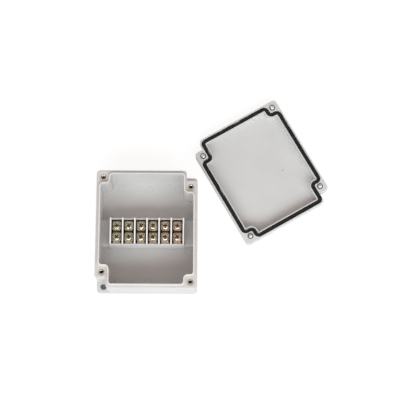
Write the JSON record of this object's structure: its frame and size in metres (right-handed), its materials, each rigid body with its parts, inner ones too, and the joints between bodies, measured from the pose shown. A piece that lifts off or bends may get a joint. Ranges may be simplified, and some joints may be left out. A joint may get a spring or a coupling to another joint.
{
  "type": "terminal box",
  "caption": "Plastic enclosure with a barrier terminal strip inside, notched flange corners for wall mounting, and a gasketed screw-down lid lying beside it.",
  "frame": {"origin": "centre of the tray's underside, on the mounting plane", "axes": "+Z out of the open tray, +Y to the far short wall, +X along the terminal block, towards the lid"},
  "size_m": [0.2307, 0.1992, 0.04],
  "materials": {
    "housing": "satin moulded light grey ABS",
    "block_plastic": "satin moulded light grey plastic",
    "insert_brass": "turned brass",
    "bar_brass": "drawn brass",
    "plated_plate": "yellow passivated zinc plate",
    "plated_screw": "yellow passivated zinc plate",
    "steel": "bright stainless steel",
    "gasket_rubber": "matt black sponge rubber",
    "ring_rubber": "matt black rubber"
  },
  "bodies": {
    "base": {"base_shell": "housing", "lid_insert_1": "insert_brass", "lid_insert_2": "insert_brass", "lid_insert_3": "insert_brass", "lid_insert_4": "insert_brass", "terminal_block": "block_plastic", "block_screw_left": "steel", "block_screw_right": "steel", "terminal_bar_1": "bar_brass", "terminal_bar_2": "bar_brass", "terminal_bar_3": "bar_brass", "terminal_bar_4": "bar_brass", "terminal_bar_5": "bar_brass", "terminal_bar_6": "bar_brass"},
    "lid": {"lid_shell": "housing", "lid_gasket": "gasket_rubber"},
    "plate_1": {"clamp_plate_1": "plated_plate"},
    "screw_1": {"terminal_screw_1": "plated_screw"},
    "plate_2": {"clamp_plate_2": "plated_plate"},
    "screw_2": {"terminal_screw_2": "plated_screw"},
    "plate_3": {"clamp_plate_3": "plated_plate"},
    "screw_3": {"terminal_screw_3": "plated_screw"},
    "plate_4": {"clamp_plate_4": "plated_plate"},
    "screw_4": {"terminal_screw_4": "plated_screw"},
    "plate_5": {"clamp_plate_5": "plated_plate"},
    "screw_5": {"terminal_screw_5": "plated_screw"},
    "plate_6": {"clamp_plate_6": "plated_plate"},
    "screw_6": {"terminal_screw_6": "plated_screw"},
    "plate_7": {"clamp_plate_7": "plated_plate"},
    "screw_7": {"terminal_screw_7": "plated_screw"},
    "plate_8": {"clamp_plate_8": "plated_plate"},
    "screw_8": {"terminal_screw_8": "plated_screw"},
    "plate_9": {"clamp_plate_9": "plated_plate"},
    "screw_9": {"terminal_screw_9": "plated_screw"},
    "plate_10": {"clamp_plate_10": "plated_plate"},
    "screw_10": {"terminal_screw_10": "plated_screw"},
    "plate_11": {"clamp_plate_11": "plated_plate"},
    "screw_11": {"terminal_screw_11": "plated_screw"},
    "plate_12": {"clamp_plate_12": "plated_plate"},
    "screw_12": {"terminal_screw_12": "plated_screw"},
    "ring_1": {"lid_screw_ring_1": "ring_rubber"},
    "lid_bolt_1": {"lid_screw_1": "steel"},
    "ring_2": {"lid_screw_ring_2": "ring_rubber"},
    "lid_bolt_2": {"lid_screw_2": "steel"},
    "ring_3": {"lid_screw_ring_3": "ring_rubber"},
    "lid_bolt_3": {"lid_screw_3": "steel"},
    "ring_4": {"lid_screw_ring_4": "ring_rubber"},
    "lid_bolt_4": {"lid_screw_4": "steel"}
  },
  "joints": [
    {"name": "lid_lift", "type": "slide", "parent": "base", "child": "lid", "axis": [0, 0, 1], "range_m": [0, 0.1]},
    {"name": "plate_1_lift", "type": "slide", "parent": "base", "child": "plate_1", "axis": [0, 0, 1], "range_m": [0, 0.0035]},
    {"name": "screw_1_turn", "type": "hinge", "parent": "plate_1", "child": "screw_1", "pos_m": [-0.03, 0.00565, 0.024], "axis": [0, 0, 1], "range_deg": [0, 1801]},
    {"name": "plate_2_lift", "type": "slide", "parent": "base", "child": "plate_2", "axis": [0, 0, 1], "range_m": [0, 0.0035]},
    {"name": "screw_2_turn", "type": "hinge", "parent": "plate_2", "child": "screw_2", "pos_m": [-0.018, 0.00565, 0.024], "axis": [0, 0, 1], "range_deg": [0, 1801]},
    {"name": "plate_3_lift", "type": "slide", "parent": "base", "child": "plate_3", "axis": [0, 0, 1], "range_m": [0, 0.0035]},
    {"name": "screw_3_turn", "type": "hinge", "parent": "plate_3", "child": "screw_3", "pos_m": [-0.006, 0.00565, 0.024], "axis": [0, 0, 1], "range_deg": [0, 1801]},
    {"name": "plate_4_lift", "type": "slide", "parent": "base", "child": "plate_4", "axis": [0, 0, 1], "range_m": [0, 0.0035]},
    {"name": "screw_4_turn", "type": "hinge", "parent": "plate_4", "child": "screw_4", "pos_m": [0.006, 0.00565, 0.024], "axis": [0, 0, 1], "range_deg": [0, 1801]},
    {"name": "plate_5_lift", "type": "slide", "parent": "base", "child": "plate_5", "axis": [0, 0, 1], "range_m": [0, 0.0035]},
    {"name": "screw_5_turn", "type": "hinge", "parent": "plate_5", "child": "screw_5", "pos_m": [0.018, 0.00565, 0.024], "axis": [0, 0, 1], "range_deg": [0, 1801]},
    {"name": "plate_6_lift", "type": "slide", "parent": "base", "child": "plate_6", "axis": [0, 0, 1], "range_m": [0, 0.0035]},
    {"name": "screw_6_turn", "type": "hinge", "parent": "plate_6", "child": "screw_6", "pos_m": [0.03, 0.00565, 0.024], "axis": [0, 0, 1], "range_deg": [0, 1801]},
    {"name": "plate_7_lift", "type": "slide", "parent": "base", "child": "plate_7", "axis": [0, 0, 1], "range_m": [0, 0.0035]},
    {"name": "screw_7_turn", "type": "hinge", "parent": "plate_7", "child": "screw_7", "pos_m": [-0.03, -0.00565, 0.024], "axis": [0, 0, 1], "range_deg": [0, 1801]},
    {"name": "plate_8_lift", "type": "slide", "parent": "base", "child": "plate_8", "axis": [0, 0, 1], "range_m": [0, 0.0035]},
    {"name": "screw_8_turn", "type": "hinge", "parent": "plate_8", "child": "screw_8", "pos_m": [-0.018, -0.00565, 0.024], "axis": [0, 0, 1], "range_deg": [0, 1801]},
    {"name": "plate_9_lift", "type": "slide", "parent": "base", "child": "plate_9", "axis": [0, 0, 1], "range_m": [0, 0.0035]},
    {"name": "screw_9_turn", "type": "hinge", "parent": "plate_9", "child": "screw_9", "pos_m": [-0.006, -0.00565, 0.024], "axis": [0, 0, 1], "range_deg": [0, 1801]},
    {"name": "plate_10_lift", "type": "slide", "parent": "base", "child": "plate_10", "axis": [0, 0, 1], "range_m": [0, 0.0035]},
    {"name": "screw_10_turn", "type": "hinge", "parent": "plate_10", "child": "screw_10", "pos_m": [0.006, -0.00565, 0.024], "axis": [0, 0, 1], "range_deg": [0, 1801]},
    {"name": "plate_11_lift", "type": "slide", "parent": "base", "child": "plate_11", "axis": [0, 0, 1], "range_m": [0, 0.0035]},
    {"name": "screw_11_turn", "type": "hinge", "parent": "plate_11", "child": "screw_11", "pos_m": [0.018, -0.00565, 0.024], "axis": [0, 0, 1], "range_deg": [0, 1801]},
    {"name": "plate_12_lift", "type": "slide", "parent": "base", "child": "plate_12", "axis": [0, 0, 1], "range_m": [0, 0.0035]},
    {"name": "screw_12_turn", "type": "hinge", "parent": "plate_12", "child": "screw_12", "pos_m": [0.03, -0.00565, 0.024], "axis": [0, 0, 1], "range_deg": [0, 1801]},
    {"name": "ring_1_slide", "type": "slide", "parent": "lid", "child": "ring_1", "axis": [0, 0, 1], "range_m": [0, 0.005]},
    {"name": "lid_bolt_1_turn", "type": "hinge", "parent": "ring_1", "child": "lid_bolt_1", "pos_m": [0.1255, 0.13229, 0.012], "axis": [0, 0, 1], "continuous": true},
    {"name": "ring_2_slide", "type": "slide", "parent": "lid", "child": "ring_2", "axis": [0, 0, 1], "range_m": [0, 0.005]},
    {"name": "lid_bolt_2_turn", "type": "hinge", "parent": "ring_2", "child": "lid_bolt_2", "pos_m": [0.05534, 0.08081, 0.012], "axis": [0, 0, 1], "continuous": true},
    {"name": "ring_3_slide", "type": "slide", "parent": "lid", "child": "ring_3", "axis": [0, 0, 1], "range_m": [0, 0.005]},
    {"name": "lid_bolt_3_turn", "type": "hinge", "parent": "ring_3", "child": "lid_bolt_3", "pos_m": [0.10283, -0.00146, 0.012], "axis": [0, 0, 1], "continuous": true},
    {"name": "ring_4_slide", "type": "slide", "parent": "lid", "child": "ring_4", "axis": [0, 0, 1], "range_m": [0, 0.005]},
    {"name": "lid_bolt_4_turn", "type": "hinge", "parent": "ring_4", "child": "lid_bolt_4", "pos_m": [0.173, 0.05001, 0.012], "axis": [0, 0, 1], "continuous": true}
  ],
  "couplings": [
    {"joint": "screw_1_turn", "follows": "plate_1_lift", "rad_per_m": 8976},
    {"joint": "screw_2_turn", "follows": "plate_2_lift", "rad_per_m": 8976},
    {"joint": "screw_3_turn", "follows": "plate_3_lift", "rad_per_m": 8976},
    {"joint": "screw_4_turn", "follows": "plate_4_lift", "rad_per_m": 8976},
    {"joint": "screw_5_turn", "follows": "plate_5_lift", "rad_per_m": 8976},
    {"joint": "screw_6_turn", "follows": "plate_6_lift", "rad_per_m": 8976},
    {"joint": "screw_7_turn", "follows": "plate_7_lift", "rad_per_m": 8976},
    {"joint": "screw_8_turn", "follows": "plate_8_lift", "rad_per_m": 8976},
    {"joint": "screw_9_turn", "follows": "plate_9_lift", "rad_per_m": 8976},
    {"joint": "screw_10_turn", "follows": "plate_10_lift", "rad_per_m": 8976},
    {"joint": "screw_11_turn", "follows": "plate_11_lift", "rad_per_m": 8976},
    {"joint": "screw_12_turn", "follows": "plate_12_lift", "rad_per_m": 8976}
  ]
}
